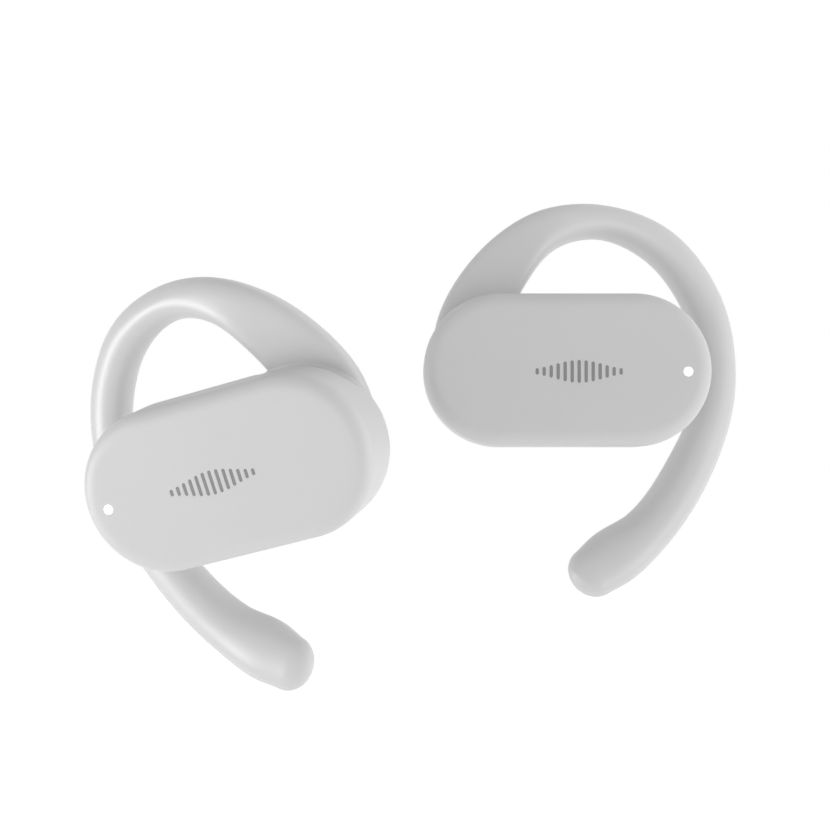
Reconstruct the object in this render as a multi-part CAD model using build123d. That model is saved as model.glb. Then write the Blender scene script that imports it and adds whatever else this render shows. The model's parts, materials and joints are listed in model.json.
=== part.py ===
from build123d import *
import os
from math import cos, pi, sin, sqrt, tan

# A pair of open-ear bone conduction earbuds. Each bud is a flat stadium-shaped pod that rests in
# front of the ear, with a spring hook that rises from the pod's front end, passes over the ear
# and ends in a soft bulb behind the lobe. The left-ear bud is modelled first, in its own frame:
# x towards the pod's tail end, y from the outer face into the head, z up, and the origin in the
# middle of the outer face. The right-ear bud is its mirror image, set beside it.
# All lengths are in millimetres and all angles in degrees.

# Pod
POD_LENGTH = 36.6
POD_HEIGHT = 19.5
POD_DEPTH = 10.6
FACE_ROUNDING = 1.4
BACK_ROUNDING = 3.0
SPLIT_LAND = 0.2         # straight wall between the cover's rear rim and the back edge's rounding
FACE_WALL = 1.2
RIM_WALL = 1.1           # cover wall beside the shell's lip
LEDGE_WIDTH = 0.5        # step inside the cover that the seal lies on
SHELL_WALL = 1.0
LIP_WALL = 0.7
SEAL_THICKNESS = 0.5

# Clearances
LIP_CLEARANCE = 0.1
PART_CLEARANCE = 0.05
BOARD_CLEARANCE = 0.3
RUNNING_CLEARANCE = 0.06
OVERCUT = 1.0            # how far a cut runs past what it cuts

# Mark and status light on the outer face
MARK_X = 1.3
MARK_BARS = 13
MARK_WIDTH = 11.0
MARK_BAR = 0.42
MARK_LOW = 0.7
MARK_HIGH = 2.9
MARK_DEPTH = 0.3
LIGHT_INSET = 3.2        # from the tail end to the light's middle
LIGHT_RADIUS = 0.57
LIGHT_FLANGE = 0.3
CENTRE_DROP = 0.3        # mark and light sit this far below the middle

# Electronics
FILM_END_INSET = 5.3
FILM_SIDE_INSET = 3.25
FILM_THICKNESS = 0.2
BOARD_DEPTH = 2.9
BOARD_THICKNESS = 0.6
RADIO_SIZE = 5.0
RADIO_X = -5.0
CHARGER_SIZE = 3.0
CHARGER_X = 6.0
CHIP_THICKNESS = 0.7
LED_SIZE = 1.0
LED_THICKNESS = 0.4
ANTENNA_HEIGHT = 1.1
ANTENNA_WIDTH = 0.35
ANTENNA_HALF_ARC = 50.0
BATTERY_SHARE = 0.615    # the cell's diameter, as a share of the pod's height
BATTERY_CLEARANCE = 0.2  # to the board screws' heads
BATTERY_EDGE = 0.4
SCREW_INSET = 3.35       # from the pod's side to each board screw
SCREW_RADIUS = 0.5
SCREW_LENGTH = 1.9
SCREW_HEAD_RADIUS = 1.0
SCREW_HEAD = 0.5
SCREW_SLOT = 0.25
BOSS_WALL = 0.75

# Microphones behind a slot in the top wall and one in the bottom wall
PORT_LENGTH = 1.6
PORT_WIDTH = 0.45
PORT_LAND = 0.675        # wall between a slot and the seal's ledge
NOISE_PORT_INSET = 8.1   # from the tail end
TALK_PORT_INSET = 10.5   # from the root end
MIC_LENGTH = 2.7
MIC_WIDTH = 1.7
MIC_THICKNESS = 0.9
GASKET_THICKNESS = 0.4
MIC_HOLE = 0.25

# Charging contacts and the magnet that holds the bud in its case
PIN_SPACING = 2.8
PIN_RADIUS = 0.6
PIN_HEAD_RADIUS = 0.85
PIN_HEAD = 0.4
PIN_PROUD = 0.1
MAGNET_LENGTH = 4.0
MAGNET_WIDTH = 2.0
MAGNET_HEIGHT = 2.2

# Bone conduction exciter: a spring-borne magnet against a coil on the head-side plate
EXCITER_SHARE = 0.55     # the exciter's diameter, as a share of the pod's height
EXCITER_INSET = 6.3      # from the root end, which leaves room for the wire's anchor
EXCITER_DROP = 0.8
EXCITER_CLEARANCE = 1.2  # between the board and the spring's side of the frame
PLATE_THICKNESS = 0.5
SPRING_THICKNESS = 0.2
SPRING_SLOT = 0.4
SPRING_ARMS = 3

# Radii in the exciter, as shares of its own
FRAME_BORE_SHARE = 0.89
YOKE_SHARE = 0.83
YOKE_BORE_SHARE = 0.72
COIL_SHARE = 0.665
COIL_BORE_SHARE = 0.535
POLE_SHARE = 0.48
SLUG_SHARE = 0.46
YOKE_BOSS_SHARE = 0.22
PAD_NECK_SHARE = 0.63

# Heights in the exciter, as shares of the way from the spring to the plate
YOKE_START_SHARE = 0.18
SLUG_START_SHARE = 0.34
COIL_START_SHARE = 0.57
POLE_START_SHARE = 0.66
POLE_END_SHARE = 0.795
YOKE_END_SHARE = 0.865

# Contact pad over the exciter
PAD_MARGIN = 0.75        # flat land round the pad's lower side
PAD_HEIGHT = 0.9
PAD_ROUNDING = 0.6

# Hook: each section's centre, its half width and its half thickness. The hook and its wire are
# measured from the middle of the pod's root end, at the depth of its back face, and their heights
# are then stretched to the hook's own.
HOOK_HEIGHT = 47.05      # between the middles of the highest and the lowest section
HOOK_STATIONS = [
    (3.7, -1.65, 0.8, 3.6, 1.5),
    (5.9, -1.55, 5.3, 4.4, 1.6),
    (10, -1.2, 13.3, 3.85, 1.9),
    (15.7, 0.1, 18.8, 2.9, 2.3),
    (23.4, 3.25, 20.75, 2.35, 2.5),
    (32.4, 6.45, 17.7, 2.75, 2.55),
    (38.5, 8.3, 9.9, 2.95, 2.5),
    (40.2, 7.9, -1.2, 2.75, 2.5),
    (36, 6.2, -12.8, 3.15, 2.6),
    (29.8, 4.1, -21.1, 3.4, 2.7),
    (25.25, 2.35, -24.6, 3.85, 2.5),
    (22.6, 1.3, -26.3, 3.4, 2.1),
]
TIP_REACH = 3.3
TIP_STEPS = (0.45, 0.75, 0.93)
PIVOT_GAP = 0.15
PIVOT_DISTANCE = 10.7    # from the wire's start, along its first run, to where the sleeve starts
STUB_ZONE = 18.0         # width of the zone around the wire that belongs to the pod
SECTION_POWER = 2.5      # 2 is an ellipse, more is squarer

# Memory wire inside the hook, and the block that anchors it in the pod
WIRE_START = (5.2, -2.3, 3.2)
WIRE_BEND = (11.7, -0.8, 16.9)
WIRE_CREST = (20.3, 1.95, 20.3)
WIRE_ARC_SHARE = 0.35    # of the shorter run that each bend takes up
WIRE_RADIUS = 0.45
WIRE_HEAD_RADIUS = 0.75
WIRE_HEAD = 0.5
ANCHOR_LENGTH = 5.0
ANCHOR_WIDTH = 2.6
ANCHOR_HEIGHT = 2.3
ANCHOR_ABOVE = 1.6       # block beyond the wire's end, towards the hook
ANCHOR_SCREW = 2.1       # from the wire's end to the screw
BULB_INSERT_RADIUS = 1.1
BULB_INSERT_LENGTH = 4.0

# Where the right-ear bud's face lies in the left bud's frame, and how it is turned
RIGHT_X = -41.7
RIGHT_Y = -17.8
RIGHT_Z = -13.6
RIGHT_YAW = -18.3
RIGHT_PITCH = 8.6
RIGHT_ROLL = -17.1

END_X = (POD_LENGTH - POD_HEIGHT) / 2
LEDGE_WALL = RIM_WALL + LEDGE_WIDTH
LIP_OUTER = RIM_WALL + LIP_CLEARANCE
LIP_INNER = LIP_OUTER + LIP_WALL
SPLIT_DEPTH = POD_DEPTH - BACK_ROUNDING - SPLIT_LAND
SHELL_FLOOR = POD_DEPTH - SHELL_WALL
ROOM_ROUNDING = BACK_ROUNDING - LIP_INNER + SHELL_WALL / 2
FLOOR_HALF = POD_HEIGHT / 2 - LIP_INNER - ROOM_ROUNDING      # half height of the flat floor
FLOOR_END = POD_LENGTH / 2 - LIP_INNER - ROOM_ROUNDING       # its half length
BOARD_BACK = BOARD_DEPTH + BOARD_THICKNESS
PORT_DEPTH = BOARD_BACK + MIC_WIDTH / 2 + PART_CLEARANCE
LEDGE_DEPTH = PORT_DEPTH + PORT_WIDTH / 2 + PORT_LAND
LIP_DEPTH = LEDGE_DEPTH + SEAL_THICKNESS
LIGHT_X = POD_LENGTH / 2 - LIGHT_INSET
BATTERY_RADIUS = BATTERY_SHARE * POD_HEIGHT / 2
BATTERY_X = FLOOR_END - BATTERY_RADIUS
BATTERY_FRONT = BOARD_BACK + SCREW_HEAD + BATTERY_CLEARANCE
EXCITER_RADIUS = EXCITER_SHARE * POD_HEIGHT / 2
EXCITER_X = EXCITER_INSET + EXCITER_RADIUS - POD_LENGTH / 2
EXCITER_TOP = BOARD_BACK + EXCITER_CLEARANCE
PLATE_DEPTH = SHELL_FLOOR - PLATE_THICKNESS
PAD_RADIUS = POD_HEIGHT / 2 - BACK_ROUNDING - EXCITER_DROP - PAD_MARGIN
SCREW_X = (EXCITER_X + EXCITER_RADIUS + BATTERY_X - BATTERY_RADIUS) / 2
SCREW_Z = POD_HEIGHT / 2 - SCREW_INSET
PIN_Z = PIN_HEAD_RADIUS + PART_CLEARANCE - FLOOR_HALF
MAGNET_Z = FLOOR_HALF - MAGNET_WIDTH / 2 - PART_CLEARANCE
ARCH = max(HOOK_STATIONS, key=lambda station: station[2])    # the ear carries the hook here
HOOK_STRETCH = HOOK_HEIGHT / (ARCH[2] - HOOK_STATIONS[-1][2])


def layer(outline, near, far):
    """Extrude an outline, drawn as seen from the front, from one depth to another."""
    return extrude(Plane.XZ.offset(-near) * outline, amount=near - far)


def stadium(inset=0.0):
    return SlotOverall(POD_LENGTH - 2 * inset, POD_HEIGHT - 2 * inset)


def disc(x, z, radius, near, far):
    return layer(Pos(x, z) * Circle(radius), near, far)


def block(x, z, length, height, near, far):
    return layer(Pos(x, z) * Rectangle(length, height), near, far)


def pod_form():
    """The pod's outer form: a stadium with a soft front edge and a rounder back edge."""
    form = layer(stadium(), 0, POD_DEPTH)
    form = fillet(form.edges().group_by(Axis.Y)[0], FACE_ROUNDING)
    return fillet(form.edges().group_by(Axis.Y)[-1], BACK_ROUNDING)


def port_place(x, side):
    """A place on the pod's outline at x, its local z pointing out of the wall."""
    radius = POD_HEIGHT / 2
    past_straight = max(0.0, abs(x) - END_X)
    lean = Vector(past_straight, sqrt(radius ** 2 - past_straight ** 2), 0)
    angle = lean.get_angle(Vector(0, 1, 0)) * (1 if x > 0 else -1)
    centre = Pos(max(-END_X, min(END_X, x)), PORT_DEPTH, 0)
    turn = Rot(0, angle if side > 0 else 180 - angle, 0)
    return centre * turn * Pos(0, 0, radius)


PORTS = [
    port_place(POD_LENGTH / 2 - NOISE_PORT_INSET, 1),
    port_place(TALK_PORT_INSET - POD_LENGTH / 2, -1),
]


def port_slot(depth):
    """A rounded slot that runs inwards from the outline, as long as the wall is deep."""
    slot = extrude(SlotOverall(PORT_LENGTH, PORT_WIDTH), amount=depth + OVERCUT)
    return Pos(0, 0, -depth) * slot


def mark_sketch(clearance=0.0):
    """A row of level bars that rise smoothly towards the middle one."""
    bars = Sketch()
    middle = (MARK_BARS - 1) / 2
    pitch = (MARK_WIDTH - MARK_BAR) / (MARK_BARS - 1)
    for index in range(MARK_BARS):
        rise = cos(pi / 2 * (index - middle) / (middle + 1)) ** 2
        height = MARK_LOW + (MARK_HIGH - MARK_LOW) * rise
        bar = SlotOverall(height + 2 * clearance, MARK_BAR + 2 * clearance, rotation=90)
        bars += Pos(MARK_X + (index - middle) * pitch, -CENTRE_DROP) * bar
    return bars


def outer_cover():
    cover = pod_form() & layer(stadium(-OVERCUT), -OVERCUT, SPLIT_DEPTH)
    cover -= layer(stadium(LEDGE_WALL), FACE_WALL, SPLIT_DEPTH)
    cover -= layer(stadium(RIM_WALL), LEDGE_DEPTH, SPLIT_DEPTH)
    for z in (SCREW_Z, -SCREW_Z):
        cover += disc(SCREW_X, z, SCREW_RADIUS + BOSS_WALL, FACE_WALL, BOARD_DEPTH)
        cover -= disc(SCREW_X, z, SCREW_RADIUS + PART_CLEARANCE, FACE_WALL, BOARD_DEPTH)
    cover -= layer(mark_sketch(), 0, MARK_DEPTH)
    cover -= disc(LIGHT_X, -CENTRE_DROP, LIGHT_RADIUS + PART_CLEARANCE, 0, FACE_WALL)
    for place in PORTS:
        cover -= place * port_slot(LEDGE_WALL + OVERCUT)
    return cover


def from_root(point):
    """A point of the hook or its wire, in the bud's frame."""
    x, y, z = point[:3]
    return Vector(x - POD_LENGTH / 2, y + POD_DEPTH, z * HOOK_STRETCH)


def hook_frames():
    """Section planes along the hook, x across its width and z along its length."""
    centres = [from_root(station) for station in HOOK_STATIONS]
    frames = []
    for index, centre in enumerate(centres):
        before = centres[max(0, index - 1)]
        after = centres[min(len(centres) - 1, index + 1)]
        along = (after - before).normalized()
        across = along.cross(Vector(0, 1, 0)).normalized()
        frames.append(Plane(origin=centre, x_dir=across, z_dir=along))
    return frames


def hook_section(half_width, half_thickness):
    """A rounded, slightly squared oval."""
    points = []
    for step in range(12):
        angle = 2 * pi * step / 12
        across = abs(cos(angle)) ** (2 / SECTION_POWER) * half_width
        through = abs(sin(angle)) ** (2 / SECTION_POWER) * half_thickness
        points.append((across if cos(angle) > 0 else -across, through if sin(angle) > 0 else -through))
    return make_face(Spline(*points, periodic=True))


def hook_form():
    """The whole hook, from inside the pod to the rounded tip of its bulb."""
    frames = hook_frames()
    sections = []
    for plane, station in zip(frames, HOOK_STATIONS):
        sections.append(plane * hook_section(station[3], station[4]))
    half_width, half_thickness = HOOK_STATIONS[-1][3:]
    tip = [sections[-1]]
    for step in TIP_STEPS:
        shrink = sqrt(1 - step ** 2)
        plane = frames[-1].offset(step * TIP_REACH)
        tip.append(plane * hook_section(half_width * shrink, half_thickness * shrink))
    return loft(sections) + loft(tip)


def wire_route():
    """The wire's corners, from its anchor to the bulb, along the sections past the arch."""
    past_arch = HOOK_STATIONS[HOOK_STATIONS.index(ARCH) + 1:-1]
    return [from_root(point) for point in [WIRE_START, WIRE_BEND, WIRE_CREST] + past_arch]


def wire_tube(radius):
    """A round tube along the wire's route: straight runs joined by arcs."""
    points = wire_route()
    radii = []
    for before, corner, after in zip(points, points[1:], points[2:]):
        turn = (corner - before).get_angle(after - corner)
        shorter = min((corner - before).length, (after - corner).length)
        radii.append(WIRE_ARC_SHARE * shorter / tan(turn / 2 * pi / 180))
    path = FilletPolyline(*points, radius=radii)
    start = Plane(origin=path @ 0, z_dir=path % 0)
    return sweep(start * Circle(radius), path=path)


PIVOT_AXIS = (wire_route()[1] - wire_route()[0]).normalized()
PIVOT = Plane(origin=wire_route()[0] + PIVOT_AXIS * PIVOT_DISTANCE, z_dir=PIVOT_AXIS)


def stub_zone(shift):
    """A block around the wire's first run, from the pivot plane back past the pod."""
    return PIVOT.offset(shift) * Pos(0, 0, -POD_LENGTH / 2) * Box(STUB_ZONE, STUB_ZONE, POD_LENGTH)


def wire_bore(clearance):
    """A straight hole around the wire's first run and its head."""
    start = Plane(origin=wire_route()[0], z_dir=PIVOT_AXIS)
    reach = (wire_route()[1] - wire_route()[0]).length
    return extrude(start * Circle(WIRE_RADIUS + clearance), amount=reach + OVERCUT)


def shell_room(clearance=0.0):
    """The hollow of the inner shell, with a rounded floor edge."""
    room = layer(stadium(LIP_INNER + clearance), LIP_DEPTH, SHELL_FLOOR - clearance)
    return fillet(room.edges().group_by(Axis.Y)[-1], ROOM_ROUNDING)


def inner_shell(hook):
    shell = pod_form() & layer(stadium(-OVERCUT), SPLIT_DEPTH, POD_DEPTH + OVERCUT)
    stub = hook & stub_zone(-PIVOT_GAP / 2)
    stub -= layer(stadium(-STUB_ZONE), -STUB_ZONE, SPLIT_DEPTH)
    stub -= layer(stadium(SHELL_WALL), 0, POD_DEPTH + STUB_ZONE)
    shell += stub
    shell -= shell_room()
    shell += layer(stadium(LIP_OUTER) - stadium(LIP_INNER), LIP_DEPTH, SPLIT_DEPTH)
    shell -= exciter_disc(PAD_NECK_SHARE, SHELL_FLOOR - OVERCUT, POD_DEPTH + OVERCUT, PART_CLEARANCE)
    for x in pin_places():
        shell -= disc(x, PIN_Z, PIN_RADIUS + PART_CLEARANCE, SHELL_FLOOR - OVERCUT, POD_DEPTH + OVERCUT)
    shell -= wire_bore(RUNNING_CLEARANCE)
    shell -= screw_at(*anchor_screw_place(), SHELL_FLOOR - ANCHOR_HEIGHT, PART_CLEARANCE)
    return shell


def cover_seal():
    outline = stadium(RIM_WALL + PART_CLEARANCE) - stadium(LIP_INNER - PART_CLEARANCE)
    return layer(outline, LEDGE_DEPTH, LIP_DEPTH)


def mark_bars():
    return layer(mark_sketch(), 0, MARK_DEPTH)


def light_pipe():
    pipe = disc(LIGHT_X, -CENTRE_DROP, LIGHT_RADIUS, 0, BOARD_DEPTH - LED_THICKNESS)
    flange = disc(LIGHT_X, -CENTRE_DROP, LIGHT_RADIUS + LIGHT_FLANGE, FACE_WALL, FACE_WALL + 0.4)
    return pipe + flange


def status_led():
    return block(LIGHT_X, -CENTRE_DROP, LED_SIZE, LED_SIZE / 2, BOARD_DEPTH - LED_THICKNESS, BOARD_DEPTH)


def touch_film():
    outline = SlotOverall(POD_LENGTH - 2 * FILM_END_INSET, POD_HEIGHT - 2 * FILM_SIDE_INSET)
    film = layer(outline, FACE_WALL, FACE_WALL + FILM_THICKNESS)
    for z in (SCREW_Z, -SCREW_Z):
        film -= disc(SCREW_X, z, SCREW_RADIUS + BOSS_WALL + BOARD_CLEARANCE, 0, BOARD_DEPTH)
    return film


def antenna():
    outline = stadium(LEDGE_WALL + 2 * BOARD_CLEARANCE)
    outline -= stadium(LEDGE_WALL + 2 * BOARD_CLEARANCE + ANTENNA_WIDTH)
    strip = layer(outline, BOARD_DEPTH - ANTENNA_HEIGHT, BOARD_DEPTH)
    reach = POD_HEIGHT * cos(ANTENNA_HALF_ARC * pi / 180) / 2
    return strip & block(END_X + reach + POD_LENGTH / 2, 0, POD_LENGTH, POD_HEIGHT, 0, POD_DEPTH)


def main_board():
    board = layer(stadium(LEDGE_WALL + BOARD_CLEARANCE), BOARD_DEPTH, BOARD_BACK)
    for z in (SCREW_Z, -SCREW_Z):
        board -= disc(SCREW_X, z, SCREW_RADIUS + PART_CLEARANCE, 0, POD_DEPTH)
    return board


def radio_chip():
    return block(RADIO_X, 0, RADIO_SIZE, RADIO_SIZE, BOARD_DEPTH - CHIP_THICKNESS, BOARD_DEPTH)


def charge_chip():
    return block(CHARGER_X, 0, CHARGER_SIZE, CHARGER_SIZE, BOARD_DEPTH - CHIP_THICKNESS, BOARD_DEPTH)


def screw_at(x, z, seat, clearance=0.0):
    """A slotted pan-head screw, its head on the seat and its point away from it.

    With a clearance it is the screw's plain shank hole."""
    if clearance:
        return disc(x, z, SCREW_RADIUS + clearance, seat, seat + ANCHOR_HEIGHT + SHELL_WALL / 2)
    head = disc(x, z, SCREW_HEAD_RADIUS, seat - SCREW_HEAD, seat)
    head -= block(x, z, 2 * SCREW_HEAD_RADIUS, SCREW_SLOT, seat - SCREW_HEAD, seat - SCREW_HEAD / 2)
    return head + disc(x, z, SCREW_RADIUS, seat, seat + SCREW_LENGTH)


def board_screws():
    """Both screws point forwards from the back of the board into the cover's bosses."""
    pair = []
    for z in (SCREW_Z, -SCREW_Z):
        screw = screw_at(SCREW_X, z, 0)
        pair += (Pos(0, BOARD_BACK, 0) * mirror(screw, about=Plane.XZ)).solids()
    return Compound(children=pair)


def battery():
    cell = disc(BATTERY_X, 0, BATTERY_RADIUS, BATTERY_FRONT, SHELL_FLOOR)
    return fillet(cell.edges().filter_by(GeomType.CIRCLE), BATTERY_EDGE)


def gasket_solid(place):
    wall = LEDGE_WALL + PART_CLEARANCE
    pad = place * Pos(0, 0, -wall - GASKET_THICKNESS / 2) * Box(MIC_LENGTH, MIC_WIDTH, GASKET_THICKNESS)
    pad &= layer(stadium(wall), 0, POD_DEPTH)
    return pad - place * port_slot(LEDGE_WALL + GASKET_THICKNESS + OVERCUT)


def microphone_solid(place):
    top = LEDGE_WALL + PART_CLEARANCE + GASKET_THICKNESS
    mic = place * Pos(0, 0, -top - MIC_THICKNESS / 2) * Box(MIC_LENGTH, MIC_WIDTH, MIC_THICKNESS)
    hole = place * Pos(0, 0, -top) * Cylinder(MIC_HOLE, MIC_THICKNESS)
    return mic - hole


def mic_gaskets():
    return Compound(children=[gasket_solid(place).solid() for place in PORTS])


def microphones():
    return Compound(children=[microphone_solid(place).solid() for place in PORTS])


def pin_places():
    return (SCREW_X - PIN_SPACING / 2, SCREW_X + PIN_SPACING / 2)


def charge_pins():
    pins = []
    for x in pin_places():
        pin = disc(x, PIN_Z, PIN_RADIUS, SHELL_FLOOR, POD_DEPTH + PIN_PROUD)
        pin += disc(x, PIN_Z, PIN_HEAD_RADIUS, SHELL_FLOOR - PIN_HEAD, SHELL_FLOOR)
        pins.append(pin.solid())
    return Compound(children=pins)


def case_magnet():
    return block(SCREW_X, MAGNET_Z, MAGNET_LENGTH, MAGNET_WIDTH, SHELL_FLOOR - MAGNET_HEIGHT, SHELL_FLOOR)


def exciter_disc(share, near, far, clearance=0.0):
    """A disc on the exciter's axis, its radius a share of the exciter's."""
    return disc(EXCITER_X, -EXCITER_DROP, share * EXCITER_RADIUS + clearance, near, far)


def stack(share):
    """A depth between the exciter's spring and its plate."""
    return EXCITER_TOP + share * (PLATE_DEPTH - EXCITER_TOP)


def exciter_frame():
    frame = exciter_disc(1, EXCITER_TOP, SHELL_FLOOR) & shell_room()
    return frame - exciter_disc(FRAME_BORE_SHARE, EXCITER_TOP, SHELL_FLOOR)


def vibration_plate():
    return exciter_disc(FRAME_BORE_SHARE, PLATE_DEPTH, SHELL_FLOOR, -PART_CLEARANCE)


def voice_coil():
    coil = exciter_disc(COIL_SHARE, stack(COIL_START_SHARE), PLATE_DEPTH)
    return coil - exciter_disc(COIL_BORE_SHARE, stack(COIL_START_SHARE), PLATE_DEPTH)


def exciter_yoke():
    yoke = exciter_disc(YOKE_SHARE, stack(YOKE_START_SHARE), stack(YOKE_END_SHARE))
    yoke -= exciter_disc(YOKE_BORE_SHARE, stack(SLUG_START_SHARE), stack(YOKE_END_SHARE))
    return yoke + exciter_disc(YOKE_BOSS_SHARE, EXCITER_TOP, stack(YOKE_START_SHARE))


def exciter_magnet():
    return exciter_disc(SLUG_SHARE, stack(SLUG_START_SHARE), stack(POLE_START_SHARE))


def pole_plate():
    return exciter_disc(POLE_SHARE, stack(POLE_START_SHARE), stack(POLE_END_SHARE))


def exciter_spring():
    """A flat spring: a hub on three curved arms inside a rim that lies on the frame."""
    sheet = Circle(EXCITER_RADIUS)
    middle = (YOKE_BOSS_SHARE + FRAME_BORE_SHARE) / 2 * EXCITER_RADIUS
    spread = (FRAME_BORE_SHARE - YOKE_BOSS_SHARE) / 4 * EXCITER_RADIUS
    for arm in range(SPRING_ARMS):
        for side in (-1, 1):
            radius = middle + side * spread
            arc = CenterArc((0, 0), radius, arm * 360 / SPRING_ARMS + 30 * side, 85)
            sheet -= SlotArc(arc, SPRING_SLOT)
    return layer(Pos(EXCITER_X, -EXCITER_DROP) * sheet, EXCITER_TOP - SPRING_THICKNESS, EXCITER_TOP)


def contact_pad():
    pad = disc(EXCITER_X, -EXCITER_DROP, PAD_RADIUS, POD_DEPTH, POD_DEPTH + PAD_HEIGHT)
    pad = fillet(pad.edges().group_by(Axis.Y)[-1], PAD_ROUNDING)
    return pad + exciter_disc(PAD_NECK_SHARE, SHELL_FLOOR, POD_DEPTH)


def anchor_place():
    """The anchor block's plane: x across the wire, y along its front view."""
    lean = Vector(PIVOT_AXIS.X, PIVOT_AXIS.Z, 0).get_angle(Vector(0, 1, 0))
    start = wire_route()[0]
    return Pos(start.X, start.Z) * Rot(0, 0, -lean)


def anchor_screw_place():
    spot = anchor_place() * Pos(0, -ANCHOR_SCREW)
    return spot.position.X, spot.position.Y


def wire_anchor():
    outline = Pos(0, ANCHOR_ABOVE - ANCHOR_LENGTH / 2) * RectangleRounded(ANCHOR_WIDTH, ANCHOR_LENGTH, 0.5)
    anchor = layer(anchor_place() * outline, SHELL_FLOOR - ANCHOR_HEIGHT, SHELL_FLOOR)
    anchor &= shell_room(PART_CLEARANCE)
    anchor -= wire_bore(RUNNING_CLEARANCE)
    anchor -= wire_head(RUNNING_CLEARANCE)
    return anchor - screw_at(*anchor_screw_place(), SHELL_FLOOR - ANCHOR_HEIGHT, PART_CLEARANCE)


def anchor_screw():
    return screw_at(*anchor_screw_place(), SHELL_FLOOR - ANCHOR_HEIGHT)


def wire_head(clearance=0.0):
    start = Plane(origin=wire_route()[0], z_dir=PIVOT_AXIS).offset(-clearance)
    return extrude(start * Circle(WIRE_HEAD_RADIUS + clearance), amount=WIRE_HEAD + 2 * clearance)


def bulb_insert(clearance=0.0):
    """A rigid plug that caps the wire's end inside the bulb."""
    end = wire_route()[-1]
    along = (end - wire_route()[-2]).normalized()
    middle = Plane(origin=end, z_dir=along)
    plug = middle * Cylinder(BULB_INSERT_RADIUS + clearance, BULB_INSERT_LENGTH + 2 * clearance)
    return plug


def hook_wire():
    return wire_tube(WIRE_RADIUS) + wire_head()


def hook_sleeve(hook):
    sleeve = hook - stub_zone(PIVOT_GAP / 2)
    sleeve -= wire_tube(WIRE_RADIUS + PART_CLEARANCE)
    return sleeve - bulb_insert(PART_CLEARANCE)


def plug_in_bulb():
    return bulb_insert() - wire_tube(WIRE_RADIUS + PART_CLEARANCE)


def earbud():
    """Every piece of the left-ear bud, by name, in the bud's own frame."""
    hook = hook_form()
    return {
        "outer_cover": outer_cover(),
        "inner_shell": inner_shell(hook),
        "cover_seal": cover_seal(),
        "mark_bars": mark_bars(),
        "light_pipe": light_pipe(),
        "status_led": status_led(),
        "touch_film": touch_film(),
        "antenna": antenna(),
        "main_board": main_board(),
        "radio_chip": radio_chip(),
        "charge_chip": charge_chip(),
        "board_screws": board_screws(),
        "battery": battery(),
        "microphones": microphones(),
        "mic_gaskets": mic_gaskets(),
        "charge_pins": charge_pins(),
        "case_magnet": case_magnet(),
        "exciter_frame": exciter_frame(),
        "vibration_plate": vibration_plate(),
        "voice_coil": voice_coil(),
        "contact_pad": contact_pad(),
        "exciter_yoke": exciter_yoke(),
        "exciter_magnet": exciter_magnet(),
        "pole_plate": pole_plate(),
        "exciter_spring": exciter_spring(),
        "wire_anchor": wire_anchor(),
        "anchor_screw": anchor_screw(),
        "hook_wire": hook_wire(),
        "hook_sleeve": hook_sleeve(hook),
        "bulb_insert": plug_in_bulb(),
    }


def ear_seat():
    """The underside of the hook's arch, where the ear carries the bud."""
    return from_root(ARCH) - Vector(0, 0, ARCH[3])


os.makedirs("parts", exist_ok=True)
to_row = Pos(-ear_seat())
right_turn = Rot(0, RIGHT_ROLL, 0) * Rot(RIGHT_PITCH, 0, 0) * Rot(0, 0, RIGHT_YAW)
right_place = to_row * Pos(RIGHT_X, RIGHT_Y, RIGHT_Z) * right_turn
for name, shape in earbud().items():
    export_step(to_row * shape, f"parts/left_{name}.step")
    export_step(right_place * mirror(shape, about=Plane.YZ), f"parts/right_{name}.step")
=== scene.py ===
# %% [markdown]
# # A pair of bone conduction earbuds
# Each earbud is a flat, stadium-shaped pod on a sprung hook that goes over the ear. The packed
# model gives every solid its real place and size; this lesson dresses the solids that show with
# smooth moulded skins, gives every piece a finish, and lights the pair on a pale studio floor.

# %% Load the frame
import bmesh
import bpy
import json
from math import cos, pi, radians, sin
from mathutils import Matrix, Vector
from mathutils.bvhtree import BVHTree


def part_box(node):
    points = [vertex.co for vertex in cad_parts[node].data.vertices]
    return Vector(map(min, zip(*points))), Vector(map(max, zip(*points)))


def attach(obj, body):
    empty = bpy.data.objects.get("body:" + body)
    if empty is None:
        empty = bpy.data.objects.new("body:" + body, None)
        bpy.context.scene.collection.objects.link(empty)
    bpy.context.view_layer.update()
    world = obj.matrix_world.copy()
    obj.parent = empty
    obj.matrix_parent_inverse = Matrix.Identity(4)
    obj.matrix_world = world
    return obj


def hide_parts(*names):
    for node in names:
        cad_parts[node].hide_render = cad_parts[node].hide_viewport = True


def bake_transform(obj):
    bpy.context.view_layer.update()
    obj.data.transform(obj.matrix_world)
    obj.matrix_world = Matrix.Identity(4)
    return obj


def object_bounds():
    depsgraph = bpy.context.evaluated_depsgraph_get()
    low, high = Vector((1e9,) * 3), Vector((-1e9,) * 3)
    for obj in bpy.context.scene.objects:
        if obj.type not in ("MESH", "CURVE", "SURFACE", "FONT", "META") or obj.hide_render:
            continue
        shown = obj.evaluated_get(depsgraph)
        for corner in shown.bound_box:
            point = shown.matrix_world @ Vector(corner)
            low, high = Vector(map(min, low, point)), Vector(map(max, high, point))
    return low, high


with open("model.json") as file:
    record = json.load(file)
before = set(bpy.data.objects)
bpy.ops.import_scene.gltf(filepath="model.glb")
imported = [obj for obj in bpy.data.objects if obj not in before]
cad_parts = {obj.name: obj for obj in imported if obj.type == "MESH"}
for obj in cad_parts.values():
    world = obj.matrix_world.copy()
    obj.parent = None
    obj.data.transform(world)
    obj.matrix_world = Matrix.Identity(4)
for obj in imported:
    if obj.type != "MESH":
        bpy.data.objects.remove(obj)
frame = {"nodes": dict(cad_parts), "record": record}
cad_box = [list(corner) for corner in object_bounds()]

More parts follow.
